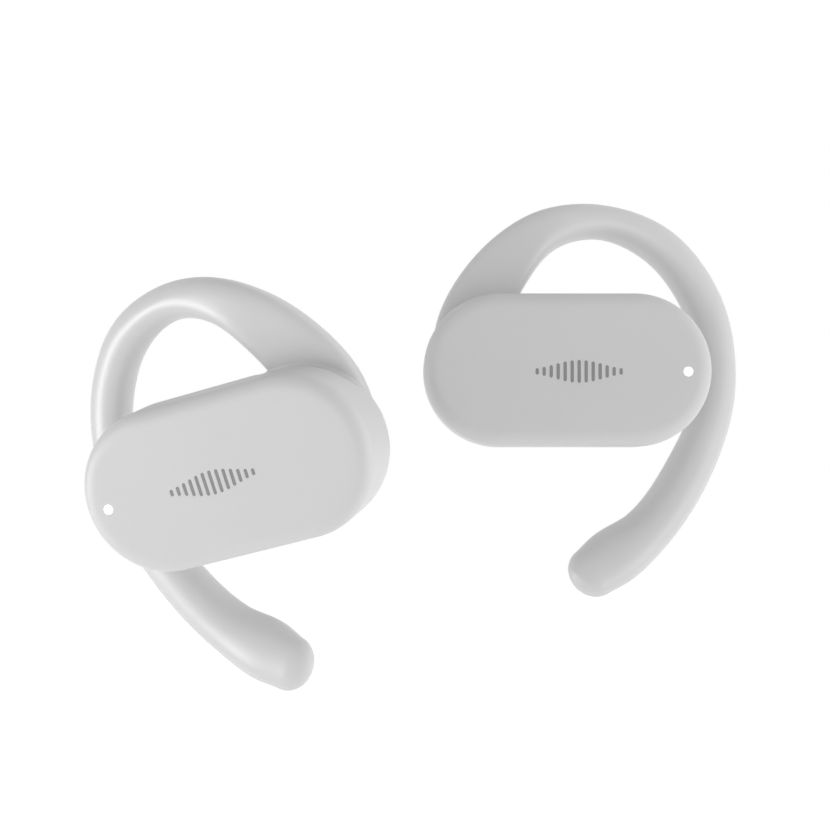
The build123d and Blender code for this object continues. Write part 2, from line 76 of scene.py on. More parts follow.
# %% [markdown]
# ## Where each pod is
# A pod's own frame has its origin in the middle of the outer face, x towards the end with the
# light, y from the face into the head and z up, in millimetres. The left pod's place comes from
# the box of its cover. The right pod is the mirror image, turned and set beside it; its turn is
# repeated from the part's design.

# %% Pod frames
MM = 0.001
SIDES = ("left", "right")
cover_lo, cover_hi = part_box("left_outer_cover")
left_origin = Vector(((cover_lo.x + cover_hi.x) / 2, cover_lo.y, (cover_lo.z + cover_hi.z) / 2))
RIGHT_SHIFT = Vector((-41.7, -17.8, -13.6)) * MM
RIGHT_ROLL, RIGHT_PITCH, RIGHT_YAW = radians(-17.1), radians(8.6), radians(-18.3)
right_turn = (Matrix.Rotation(RIGHT_ROLL, 4, "Y") @ Matrix.Rotation(RIGHT_PITCH, 4, "X")
              @ Matrix.Rotation(RIGHT_YAW, 4, "Z"))
PLACE = {
    "left": Matrix.Translation(left_origin) @ Matrix.Scale(MM, 4),
    "right": (Matrix.Translation(left_origin + RIGHT_SHIFT) @ right_turn
              @ Matrix.Scale(MM, 4) @ Matrix.Diagonal((-1, 1, 1, 1))),
}
print("left pod origin in mm:", [round(v / MM, 2) for v in left_origin])

# %% [markdown]
# ## Turning a form into pieces
# The two buds are mirror images, so every skin is shaped once, in millimetres in the pod's
# frame. A form that is ready is placed for each side, mirrored where it has to be, and its faces
# are made to point outwards again, because a mirrored mesh is inside out. Round surfaces are
# shaded smooth, and only real corners stay sharp.

# %% Helpers for forms and pieces
SHARP_ANGLE = radians(32)


def keep_form(name, bm):
    """An object that holds a form in millimetres while it is being shaped."""
    mesh = bpy.data.meshes.new(name)
    bm.to_mesh(mesh)
    bm.free()
    form = bpy.data.objects.new(name, mesh)
    bpy.context.scene.collection.objects.link(form)
    return form


def settle(form):
    """Apply the modifiers of a form."""
    bpy.context.view_layer.update()
    graph = bpy.context.evaluated_depsgraph_get()
    mesh = bpy.data.meshes.new_from_object(form.evaluated_get(graph))
    form.modifiers.clear()
    form.data = mesh
    return form


def carve(form, tool):
    """Cut a form with another one, and drop the tool."""
    cut = form.modifiers.new("cut", "BOOLEAN")
    cut.operation = "DIFFERENCE"
    cut.solver = "EXACT"
    cut.object = tool
    settle(form)
    bpy.data.objects.remove(tool)
    return form


def place_pieces(name, form, body, node):
    """One finished piece for each side, standing for a CAD node."""
    pieces = []
    for side in SIDES:
        bm = bmesh.new()
        bm.from_mesh(form.data)
        bm.transform(PLACE[side])
        bmesh.ops.recalc_face_normals(bm, faces=bm.faces)
        piece = keep_form(f"{side}_{name}", bm)
        piece.data.shade_smooth()
        piece.data.set_sharp_from_angle(angle=SHARP_ANGLE)
        if body:
            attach(piece, f"{side}_{body}")
        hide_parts(f"{side}_{node}")
        pieces.append(piece)
        print(piece.name, len(piece.data.polygons), "faces")
    bpy.data.objects.remove(form)
    return pieces


# %% [markdown]
# ## Stadium outlines and soft edges
# The pod's outline is a circle whose halves are moved apart. A shell grows from that face by
# insetting it again and again: each inset draws the face in a little and moves it on a little,
# so a list of small steps becomes a rounded edge. The rounding follows a squared curve instead
# of a circle's arc, because a moulded edge with an even curve catches light more softly.

# %% Outline and step helpers
POD_LENGTH, POD_HEIGHT, POD_DEPTH = 36.6, 19.5, 10.6
SPLIT_DEPTH = 7.4
HALF_STRAIGHT = (POD_LENGTH - POD_HEIGHT) / 2
ROUND_SEGMENTS = 96
STRAIGHT_CUTS = 15
WELD_GAP = 1e-4
FLAT_BORDER = 0.5  # ring inside a flat face, so that the edge's shading stays off the flat


def stadium_face(bm, depth, forwards, radius=POD_HEIGHT / 2, half=HALF_STRAIGHT,
                 segments=ROUND_SEGMENTS):
    """One stadium face at a depth, looking out of the front or of the back."""
    turn = Matrix.Rotation(pi / 2, 4, "X") @ Matrix.Rotation(pi / segments, 4, "Z")
    made = bmesh.ops.create_circle(bm, cap_ends=False, segments=segments, radius=radius,
                                   matrix=turn)
    ring = {edge for vert in made["verts"] for edge in vert.link_edges}
    for vert in made["verts"]:
        vert.co.x += half if vert.co.x > 0 else -half
        vert.co.y = depth
    if half:
        straight = [edge for edge in ring if edge.calc_length() > half]
        cuts = bmesh.ops.subdivide_edges(bm, edges=straight, cuts=STRAIGHT_CUTS)
        ring |= {item for item in cuts["geom"] if isinstance(item, bmesh.types.BMEdge)}
    face = bmesh.ops.contextual_create(bm, geom=[e for e in ring if e.is_valid])["faces"][0]
    face.normal_update()
    if (face.normal.y < 0) != forwards:
        face.normal_flip()
    return face


def both_ways(bm, depth, **outline):
    """Two stadium faces back to back: one grows to the front, the other to the back."""
    front = stadium_face(bm, depth, True, **outline)
    copy = bmesh.ops.duplicate(bm, geom=[front])["geom"]
    back = next(item for item in copy if isinstance(item, bmesh.types.BMFace))
    back.normal_flip()
    return front, back


def grow(bm, face, inset, onward, steps=1):
    """Draw the face in and move it along its normal, in equal steps."""
    for _ in range(steps):
        bmesh.ops.inset_region(bm, faces=[face], thickness=inset / steps, depth=onward / steps,
                               use_boundary=True, use_even_offset=True)


def soft_edge(bm, face, inset, onward, steps=12, power=2.3):
    """A rounded edge of many small steps, from a wall to the face across it."""
    before = (0.0, 0.0)
    for step in range(1, steps + 1):
        angle = pi / 2 * step / steps
        now = (inset * (1 - cos(angle) ** (2 / power)), onward * sin(angle) ** (2 / power))
        grow(bm, face, now[0] - before[0], now[1] - before[1])
        before = now


def weld(bm):
    """Merge the points that two halves share."""
    bmesh.ops.remove_doubles(bm, verts=bm.verts, dist=WELD_GAP)
    return bm


def add_in(bm, part, matrix=Matrix()):
    """Add one bmesh to another at a place."""
    part.transform(matrix)
    mesh = bpy.data.meshes.new("part")
    part.to_mesh(mesh)
    part.free()
    bm.from_mesh(mesh)
    bpy.data.meshes.remove(mesh)


# %% [markdown]
# ## Outer cover
# The cover is a moulded cup: the face that a finger taps, a soft edge, the wall, and a stepped
# rim inside that the seal lies on. The cup is one closed surface, so it grows from the rim
# outwards for the outside and from the rim inwards for the inside.
#
# Where the hook's flat root passes behind the cover, both halves draw back from each other in a
# shallow relief. It fades out towards the pod's end, where cover and root run into one another.

# %% Grow the cover
FACE_WALL, RIM_WALL, LEDGE_WALL, LEDGE_DEPTH = 1.2, 1.1, 1.6, 5.3
EDGE_INSET, EDGE_DEPTH = 2.1, 1.9
RELIEF, RELIEF_START, RELIEF_END = 0.8, SPLIT_DEPTH - 1.5, SPLIT_DEPTH + 1.0
WALL_REACH = 0.5                # points this near the outline belong to the outside wall
RELIEF_ALONG = (4.5, 9.0)       # where it fades in from the middle towards the root's end
RELIEF_UP = (4.5, 8.0)          # and from the middle upwards


def ease(value, low, high):
    """0 below low, 1 above high, and smooth between."""
    share = min(1, max(0, (value - low) / (high - low)))
    return share * share * (3 - 2 * share)


def relieve(bm):
    """Draw the outside wall in around the split, behind the hook's root only."""
    for vert in bm.verts:
        past = max(0.0, abs(vert.co.x) - HALF_STRAIGHT)
        spread = Vector((past if vert.co.x > 0 else -past, 0, vert.co.z))
        outside = POD_HEIGHT / 2 - spread.length < WALL_REACH
        if not outside or not RELIEF_START < vert.co.y < RELIEF_END:
            continue
        share = min(1.0, (vert.co.y - RELIEF_START) / (SPLIT_DEPTH - RELIEF_START))
        amount = 1 - (1 - share ** 2) ** 0.5
        amount *= ease(-vert.co.x, *RELIEF_ALONG) * ease(vert.co.z, *RELIEF_UP)
        vert.co -= spread.normalized() * RELIEF * amount
    return bm


def cover_cup():
    bm = bmesh.new()
    front, back = both_ways(bm, SPLIT_DEPTH)
    grow(bm, front, 0, SPLIT_DEPTH - RELIEF_START, steps=10)
    grow(bm, front, 0, RELIEF_START - EDGE_DEPTH, steps=3)
    soft_edge(bm, front, EDGE_INSET, EDGE_DEPTH, steps=16)
    grow(bm, front, FLAT_BORDER, 0)
    grow(bm, back, RIM_WALL, 0)
    grow(bm, back, 0, LEDGE_DEPTH - SPLIT_DEPTH)
    grow(bm, back, LEDGE_WALL - RIM_WALL, 0)
    grow(bm, back, 0, FACE_WALL - LEDGE_DEPTH)
    grow(bm, back, FLAT_BORDER, 0)
    return relieve(weld(bm))


cover_form = keep_form("cover_form", cover_cup())
print("cover form:", len(cover_form.data.polygons), "faces")

# %% [markdown]
# The cover has three kinds of openings, cut as the mould leaves them: shallow channels for the
# mark's bars, the hole for the light, and a slot in the wall over each microphone. One tool
# cuts all of them. The mark is a plain row of level bars that rise towards the middle.

# %% Cut the openings
MARK_X, CENTRE_DROP, MARK_BARS, MARK_WIDTH = 1.3, 0.3, 13, 11.0
MARK_BAR, MARK_LOW, MARK_HIGH, MARK_DEPTH = 0.42, 0.7, 2.9, 0.3
LIGHT_X, LIGHT_HOLE = 15.1, 0.62
SLOT_DEPTH, SLOT_RADIUS, SLOT_HALF = 4.4, 0.225, 0.575
SLOT_PLACES = ((10.2, 1), (-7.8, -1))  # x, and 1 for the top wall or -1 for the bottom wall
OVERCUT = 0.5                          # how far a tool starts outside what it cuts


def prism(radius, half, reach, segments=24):
    """A rounded bar from its own origin to a reach along y."""
    bm = bmesh.new()
    front, back = both_ways(bm, 0, radius=radius, half=half, segments=segments)
    grow(bm, back, 0, reach)
    return weld(bm)


def wall_place(x, side):
    """The outline's point at x, with local y pointing into the wall."""
    past = max(0.0, abs(x) - HALF_STRAIGHT) * (1 if x > 0 else -1)
    out = Vector((past, 0, side * ((POD_HEIGHT / 2) ** 2 - past**2) ** 0.5))
    point = Vector((x - past, SLOT_DEPTH, 0)) + out
    inward, deep = -out.normalized(), Vector((0, 1, 0))
    turn = Matrix((inward.cross(deep), inward, deep)).transposed().to_4x4()
    return Matrix.Translation(point) @ turn


def mark_places():
    """Half the length and the place of every bar of the mark."""
    middle = (MARK_BARS - 1) / 2
    for index in range(MARK_BARS):
        rise = cos(pi / 2 * (index - middle) / (middle + 1)) ** 2
        half = (MARK_LOW + (MARK_HIGH - MARK_LOW) * rise - MARK_BAR) / 2
        x = MARK_X + (index - middle) * (MARK_WIDTH - MARK_BAR) / (MARK_BARS - 1)
        yield half, Matrix.Translation((x, 0, -CENTRE_DROP)) @ Matrix.Rotation(pi / 2, 4, "Y")


def opening_tool():
    bm = bmesh.new()
    outside = Matrix.Translation((0, -OVERCUT, 0))
    for half, place in mark_places():
        add_in(bm, prism(MARK_BAR / 2, half, OVERCUT + MARK_DEPTH), place @ outside)
    light = Matrix.Translation((LIGHT_X, 0, -CENTRE_DROP))
    add_in(bm, prism(LIGHT_HOLE, 0.0, FACE_WALL + 1, segments=48), light @ outside)
    for x, side in SLOT_PLACES:
        add_in(bm, prism(SLOT_RADIUS, SLOT_HALF, LEDGE_WALL + 1), wall_place(x, side) @ outside)
    return keep_form("openings", bm)


carve(cover_form, opening_tool())
place_pieces("cover_skin", cover_form, "earbud", "outer_cover")

# %% [markdown]
# The mark's bars are grey plastic that fills the channels. Each bar's face has a fine bevel, and
# it lies a few hundredths of a millimetre below the cover, so it never fights with it for the
# same place.

# %% Mark bars
MARK_SINK, MARK_BEVEL = 0.03, 0.04
MARK_SIDE_GAP, MARK_END_GAP = 0.005, 0.01  # to the channel's sides and to its floor


def mark_form():
    bm = bmesh.new()
    for half, place in mark_places():
        bar = prism(MARK_BAR / 2 - MARK_SIDE_GAP, half, MARK_DEPTH - MARK_SINK - MARK_END_GAP)
        front = min(bar.faces, key=lambda face: face.calc_center_median().y)
        bmesh.ops.bevel(bar, geom=list(front.edges), offset=MARK_BEVEL, offset_type="OFFSET",
                        affect="EDGES", segments=2, profile=0.5, material=-1)
        add_in(bm, bar, place @ Matrix.Translation((0, MARK_SINK, 0)))
    return keep_form("mark_form", bm)


place_pieces("mark_inlay", mark_form(), "earbud", "mark_bars")

# %% [markdown]
# ## Hook
# The hook is soft plastic moulded over a memory wire: a flat blade where it leaves the pod,
# almost round over the ear, and a bulb behind the lobe. Its flat side turns as it goes round, so
# a bright line wanders from the inner edge to the outer one. A few sections give its design, and
# a smooth curve through them gives the many thin slices that are bridged into one skin.

# %% Slices of the hook
ROOT_END = -POD_LENGTH / 2
# Centre from the root end's back edge, half width, half thickness, squareness and twist
HOOK_STATIONS = [
    (3.6, -1.45, -1.6, 2.5, 1.2, 4.5, 0),
    (5.9, -1.1, 5.3, 4.4, 1.3, 4.5, 2),
    (10.0, -1.0, 13.3, 3.85, 1.75, 4.2, 2),
    (15.7, 0.1, 18.75, 2.85, 2.3, 2.7, -6),
    (23.4, 3.2, 20.7, 2.35, 2.45, 2.0, -6),
    (32.4, 6.35, 17.7, 2.75, 2.45, 1.95, -10),
    (38.5, 8.15, 9.9, 2.9, 2.4, 1.95, -12),
    (40.2, 7.8, -1.2, 2.72, 2.4, 1.95, -4),
    (36.0, 6.2, -12.8, 3.15, 2.4, 1.95, 16),
    (29.8, 4.1, -21.1, 3.45, 2.4, 2.0, 24),
    (25.1, 2.35, -24.5, 3.95, 2.3, 2.15, 21),
    (22.6, 1.3, -26.2, 3.5, 2.0, 2.2, 16),
]
SLICES_PER_SPAN = 7
SLICE_SEGMENTS = 48
TIP_REACH = 3.3
TIP_SLICES = 9
TIP_OPENING = 0.35     # part of a slice's step that the last ring stays short of the tip
SHORTEST_GAP = 0.01    # keeps a slope finite at the curve's ends


def curve_row(rows, span, u):
    """Cubic through the rows at a share u of a span, with slopes from each row's neighbours."""
    last = len(rows) - 1
    a, b = rows[span], rows[span + 1]
    before, after = rows[max(0, span - 1)], rows[min(last, span + 2)]
    gap = (Vector(b[:3]) - Vector(a[:3])).length
    gap_before = max(gap * SHORTEST_GAP, (Vector(a[:3]) - Vector(before[:3])).length)
    gap_after = max(gap * SHORTEST_GAP, (Vector(after[:3]) - Vector(b[:3])).length)
    made = []
    for p, q, r, s in zip(before, a, b, after):
        rise = slope_a = slope_b = (r - q) / gap
        if span > 0:
            slope_a = ((q - p) / gap_before * gap + rise * gap_before) / (gap + gap_before)
        if span + 1 < last:
            slope_b = (rise * gap_after + (s - r) / gap_after * gap) / (gap + gap_after)
        made.append((2 * u**3 - 3 * u**2 + 1) * q + (u**3 - 2 * u**2 + u) * gap * slope_a
                    + (3 * u**2 - 2 * u**3) * r + (u**3 - u**2) * gap * slope_b)
    return made


def hook_slices():
    """(centre, along, half width, half thickness, squareness, twist) of every slice."""
    rows = []
    for span in range(len(HOOK_STATIONS) - 1):
        for k in range(SLICES_PER_SPAN):
            rows.append(curve_row(HOOK_STATIONS, span, k / SLICES_PER_SPAN))
    rows.append(list(HOOK_STATIONS[-1]))
    centres = [Vector((r[0] + ROOT_END, r[1] + POD_DEPTH, r[2])) for r in rows]
    made = []
    for i, (row, centre) in enumerate(zip(rows, centres)):
        along = (centres[min(i + 1, len(rows) - 1)] - centres[max(i - 1, 0)]).normalized()
        made.append((centre, along, *row[3:]))
    centre, along, width, thickness, power, twist = made[-1]
    for k in range(1, TIP_SLICES + 1):
        angle = pi / 2 * k / (TIP_SLICES + TIP_OPENING)
        shrink = cos(angle)
        made.append((centre + along * TIP_REACH * sin(angle), along,
                     width * shrink, thickness * shrink, power, twist))
    return made


def bridge_slices(bm, slices, shrink=0.0):
    """One closed skin over the slices, drawn in a little where it has to lie inside another."""
    rings = []
    for centre, along, width, thickness, power, twist in slices:
        turn = Matrix.Rotation(radians(twist), 3, along)
        across = turn @ along.cross(Vector((0, 1, 0))).normalized()
        through = along.cross(across).normalized()
        made = bmesh.ops.create_circle(bm, cap_ends=False, segments=SLICE_SEGMENTS, radius=1)
        for vert in made["verts"]:
            x, y = vert.co.x, vert.co.y
            x = abs(x) ** (2 / power) * (1 if x > 0 else -1) * (width - shrink)
            y = abs(y) ** (2 / power) * (1 if y > 0 else -1) * (thickness - shrink)
            vert.co = centre + across * x + through * y
        rings.append([e for e in {e for v in made["verts"] for e in v.link_edges}])
    for near, far in zip(rings, rings[1:]):
        bmesh.ops.bridge_loops(bm, edges=near + far)
    for ring in (rings[0], rings[-1]):
        bmesh.ops.contextual_create(bm, geom=ring)
    bmesh.ops.recalc_face_normals(bm, faces=bm.faces)
    return bm


hook_form = keep_form("hook_form", bridge_slices(bmesh.new(), hook_slices()))
print("hook form:", len(hook_form.data.polygons), "faces")

# %% [markdown]
# ## Inner shell
# The head-side shell and the first bit of the hook's root are moulded as one, with a fillet
# between them. Two solids are laid over each other, the pod's form and a root a hair thinner
# than the hook's skin, and a voxel remesh turns them into one surface. Only the points near
# the crease are then smoothed: a little around, more close by. So the fillet runs out into the
# hook's skin without an edge. The plane of the split and the hollow are cut last, so the rim
# stays crisp.

# %% Merge the shell and the root
BACK_ROUNDING = 3.0
BACK_CURVE = 2.05      # squareness of the back edge's rounding, where 2 is a circle's arc
SHELL_WALL, LIP_WALL = 1.0, 1.9
ROOM_ROUNDING = 1.6
ROOT_SLICES = 14
ROOT_SHRINK = 0.05
VOXEL = 0.17
FILLET_PASSES = ((1.5, 30), (1.0, 30), (0.6, 20))


def pod_solid(bm):
    front, back = both_ways(bm, SPLIT_DEPTH - 1)
    grow(bm, back, 0, POD_DEPTH - BACK_ROUNDING - SPLIT_DEPTH + 1, steps=9)
    soft_edge(bm, back, BACK_ROUNDING, BACK_ROUNDING, steps=16, power=BACK_CURVE)
    grow(bm, back, FLAT_BORDER, 0)
    return relieve(weld(bm))


def hollow():
    """The room inside the shell, open towards the cover."""
    bm = bmesh.new()
    inside = POD_HEIGHT / 2 - LIP_WALL
    front, back = both_ways(bm, SPLIT_DEPTH - OVERCUT, radius=inside)
    grow(bm, back, 0, POD_DEPTH - SHELL_WALL - ROOM_ROUNDING - SPLIT_DEPTH + OVERCUT)
    soft_edge(bm, back, ROOM_ROUNDING, ROOM_ROUNDING, steps=6, power=2)
    return keep_form("hollow", weld(bm))


pod = bmesh.new()
pod_solid(pod)
root = bmesh.new()
bridge_slices(root, hook_slices()[:ROOT_SLICES], ROOT_SHRINK)
pod_tree, root_tree = BVHTree.FromBMesh(pod), BVHTree.FromBMesh(root)
add_in(pod, root)
shell_form = keep_form("shell_form", pod)
merge = shell_form.modifiers.new("merge", "REMESH")
merge.mode = "VOXEL"
merge.voxel_size = VOXEL
settle(shell_form)
print("shell and root merged:", len(shell_form.data.polygons), "faces")

# %% Smooth the fillet, then cut the split and the hollow
bm = bmesh.new()
bm.from_mesh(shell_form.data)
bm.verts.ensure_lookup_table()
crease = []
for vert in bm.verts:
    crease.append(max(pod_tree.find_nearest(vert.co)[3], root_tree.find_nearest(vert.co)[3]))
for reach, passes in FILLET_PASSES:
    near = [vert for vert, gap in zip(bm.verts, crease) if gap < reach]
    for _ in range(passes):
        bmesh.ops.smooth_vert(bm, verts=near, factor=0.5, use_axis_x=True, use_axis_y=True,
                              use_axis_z=True)
print("points in the fillet:", len(near))
bmesh.ops.bisect_plane(bm, geom=bm.verts[:] + bm.edges[:] + bm.faces[:],
                       plane_co=(0, SPLIT_DEPTH, 0), plane_no=(0, 1, 0), clear_inner=True)
rim = [edge for edge in bm.edges if edge.is_boundary]
bmesh.ops.contextual_create(bm, geom=rim)
bm.to_mesh(shell_form.data)
bm.free()
carve(shell_form, hollow())
carve(hook_form, hollow())

# %% [markdown]
# Three holes go through the shell's back: one for the neck of the contact pad and one for each
# charging pin. Their places come from the boxes of the left pad and the left pins, because the
# left pod isn't turned.

# %% Cut the back
HOLE_GAP = 0.05
NECK_RADIUS, PIN_RADIUS, PIN_SPACING = 3.38, 0.6, 2.8


def in_pod(node):
    """The centre and the size of a left node's box, in the pod's millimetres."""
    lo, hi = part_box(f"left_{node}")
    return ((lo + hi) / 2 - left_origin) / MM, (hi - lo) / MM


pad_centre, pad_size = in_pod("contact_pad")
pin_centre, _ = in_pod("charge_pins")
PAD_RADIUS = pad_size.x / 2
SHELL_FLOOR = POD_DEPTH - SHELL_WALL
holes = [(NECK_RADIUS, pad_centre.x, pad_centre.z)]
for shift in (-PIN_SPACING / 2, PIN_SPACING / 2):
    holes.append((PIN_RADIUS, pin_centre.x + shift, pin_centre.z))
back_tool = bmesh.new()
for radius, x, z in holes:
    place = Matrix.Translation((x, SHELL_FLOOR - OVERCUT, z))
    add_in(back_tool, prism(radius + HOLE_GAP, 0.0, SHELL_WALL + 2 * OVERCUT, segments=48), place)
carve(shell_form, keep_form("back_holes", back_tool))
place_pieces("shell_skin", shell_form, "earbud", "inner_shell")

# %% [markdown]
# ## Contact pad
# The pad carries the exciter's shake into the cheekbone, just in front of the ear. It is soft
# silicone: a crowned disc with a round edge, and a fine groove that lets the middle give a
# little. Like the cover, it grows out of one circle, to the neck on one side and to the crown
# on the other.

# %% Grow the pad
PAD_WAIST, PAD_LAND = 0.25, 0.2
PAD_EDGE = (0.6, 0.4)
PAD_CROWN = ((0.5, 0.08), (0.1, -0.14), (0.16, 0), (0.1, 0.14), (0.75, 0.07), (0.75, 0.05),
             (0.75, 0.03), (0.75, 0.01))


def pad_form():
    bm = bmesh.new()
    front, back = both_ways(bm, POD_DEPTH + PAD_WAIST, radius=PAD_RADIUS, half=0.0, segments=96)
    soft_edge(bm, front, PAD_LAND, PAD_WAIST, steps=5, power=2)
    grow(bm, front, PAD_RADIUS - PAD_LAND - NECK_RADIUS, 0)
    grow(bm, front, 0, SHELL_WALL)
    soft_edge(bm, back, *PAD_EDGE, steps=10, power=2.1)
    for inset, onward in PAD_CROWN:
        grow(bm, back, inset, onward)
    weld(bm).transform(Matrix.Translation((pad_centre.x, 0, pad_centre.z)))
    return keep_form("pad_form", bm)


place_pieces("pad_skin", pad_form(), "earbud", "contact_pad")

# %% [markdown]
# ## The hooks
# The wire inside the hook bends just above the pod. Each side's hook skin is placed without a
# body of its own, and its place is baked into its mesh.

# %% Place the hooks
hooks = place_pieces("hook_skin", hook_form, None, "hook_sleeve")
for side, hook in zip(SIDES, hooks):
    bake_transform(hook)

# %% [markdown]
# ## Finishes
# Moulded plastic is never one flat colour: a mould's eroded steel leaves a fine grain, the
# colour drifts a little, and the gloss is uneven. One helper makes that from noise on object
# coordinates, at a scale in millimetres, and each finish sets its own numbers.

# %% Finish helper
DRIFT_SIZE = 9         # millimetres from one patch of colour to the next
GLOSS_SPREAD = 0.04    # roughness to either side of the finish's own
GRAIN_DEPTH = 0.01     # millimetres


def finish(name, colour, roughness, metallic=0.0, grain=0.12, bump=0.1, drift=0.02):
    """A moulded or metal finish: fine grain, slow colour drift and uneven gloss."""
    material = bpy.data.materials.new(name)
    material.use_nodes = True
    tree = material.node_tree
    shader = tree.nodes["Principled BSDF"]
    shader.inputs["Metallic"].default_value = metallic
    where = tree.nodes.new("ShaderNodeTexCoord")
    fine = tree.nodes.new("ShaderNodeTexNoise")
    fine.inputs["Scale"].default_value = 1 / (grain * MM)
    fine.inputs["Detail"].default_value = 2
    slow = tree.nodes.new("ShaderNodeTexNoise")
    slow.inputs["Scale"].default_value = 1 / (DRIFT_SIZE * MM)
    tree.links.new(where.outputs["Object"], fine.inputs["Vector"])
    tree.links.new(where.outputs["Object"], slow.inputs["Vector"])
    shade = tree.nodes.new("ShaderNodeValToRGB")
    for stop, factor in zip(shade.color_ramp.elements, (1 - drift, 1 + drift)):
        stop.color = (*[min(1, c * factor) for c in colour], 1)
    tree.links.new(slow.outputs["Fac"], shade.inputs["Fac"])
    tree.links.new(shade.outputs["Color"], shader.inputs["Base Color"])
    gloss = tree.nodes.new("ShaderNodeMapRange")
    gloss.inputs["To Min"].default_value = roughness - GLOSS_SPREAD
    gloss.inputs["To Max"].default_value = roughness + GLOSS_SPREAD
    tree.links.new(fine.outputs["Fac"], gloss.inputs["Value"])
    tree.links.new(gloss.outputs["Result"], shader.inputs["Roughness"])
    relief = tree.nodes.new("ShaderNodeBump")
    relief.inputs["Strength"].default_value = bump
    relief.inputs["Distance"].default_value = GRAIN_DEPTH * MM
    tree.links.new(fine.outputs["Fac"], relief.inputs["Height"])
    tree.links.new(relief.outputs["Normal"], shader.inputs["Normal"])
    return material


# %% [markdown]
# Some finishes have a pattern that follows the part, such as the turns of a coil or the traces
# of a board. A Mapping node set to Texture undoes the pod's place, so the pattern is drawn in
# the pod's own millimetres and comes out mirrored on the other bud, as the real one is.

# %% Pattern helper
FLAT = (pi / 2, 0.0, 0.0)  # turns the pod's x and z into the x and y that flat patterns use


def overlay(material, side, kind, second, edges, settings, turn=FLAT, depth=0.0):
    """Lay a second colour and a relief over a finish, where a texture in the pod's frame is high."""
    tree = material.node_tree
    shader = tree.nodes["Principled BSDF"]
    place, rotation, size = PLACE[side].decompose()
    where = tree.nodes.new("ShaderNodeTexCoord")
    pod = tree.nodes.new("ShaderNodeMapping")
    pod.vector_type = "TEXTURE"
    pod.inputs["Location"].default_value = place
    pod.inputs["Rotation"].default_value = rotation.to_euler()
    pod.inputs["Scale"].default_value = size
    turned = tree.nodes.new("ShaderNodeMapping")
    turned.inputs["Rotation"].default_value = turn
    texture = tree.nodes.new(kind)
    for key, value in settings.items():
        if key in texture.inputs:
            texture.inputs[key].default_value = value
        else:
            setattr(texture, key, value)
    mask = tree.nodes.new("ShaderNodeMapRange")
    mask.inputs["From Min"].default_value, mask.inputs["From Max"].default_value = edges
    mix = tree.nodes.new("ShaderNodeMix")
    mix.data_type = "RGBA"
    mix.inputs["B"].default_value = (*second, 1)
    below = shader.inputs["Base Color"].links[0].from_socket
    tree.links.new(where.outputs["Object"], pod.inputs["Vector"])
    tree.links.new(pod.outputs["Vector"], turned.inputs["Vector"])
    tree.links.new(turned.outputs["Vector"], texture.inputs["Vector"])
    tree.links.new(texture.outputs["Distance" if "Voronoi" in kind else "Fac"], mask.inputs["Value"])
    tree.links.new(mask.outputs["Result"], mix.inputs["Factor"])
    tree.links.new(below, mix.inputs["A"])
    tree.links.new(mix.outputs["Result"], shader.inputs["Base Color"])
    if depth:
        step = tree.nodes.new("ShaderNodeBump")
        step.inputs["Distance"].default_value = depth * MM
        tree.links.new(mask.outputs["Result"], step.inputs["Height"])
        tree.links.new(shader.inputs["Normal"].links[0].from_socket, step.inputs["Normal"])
        tree.links.new(step.outputs["Normal"], shader.inputs["Normal"])
    return material


# %% [markdown]
# The skins that show are satin plastic, in three kinds: the cover has the finest spark-eroded
# grain, the shell is a little smoother, and the hook is silky. The pad is matt silicone. The
# small parts inside get the finish that such parts have: enamelled copper, green solder mask,
# black moulding compound, tinned cans, gold pins, nickel-plated magnets, dark glass-filled
# nylon, zinc-plated iron and drawn spring steel.

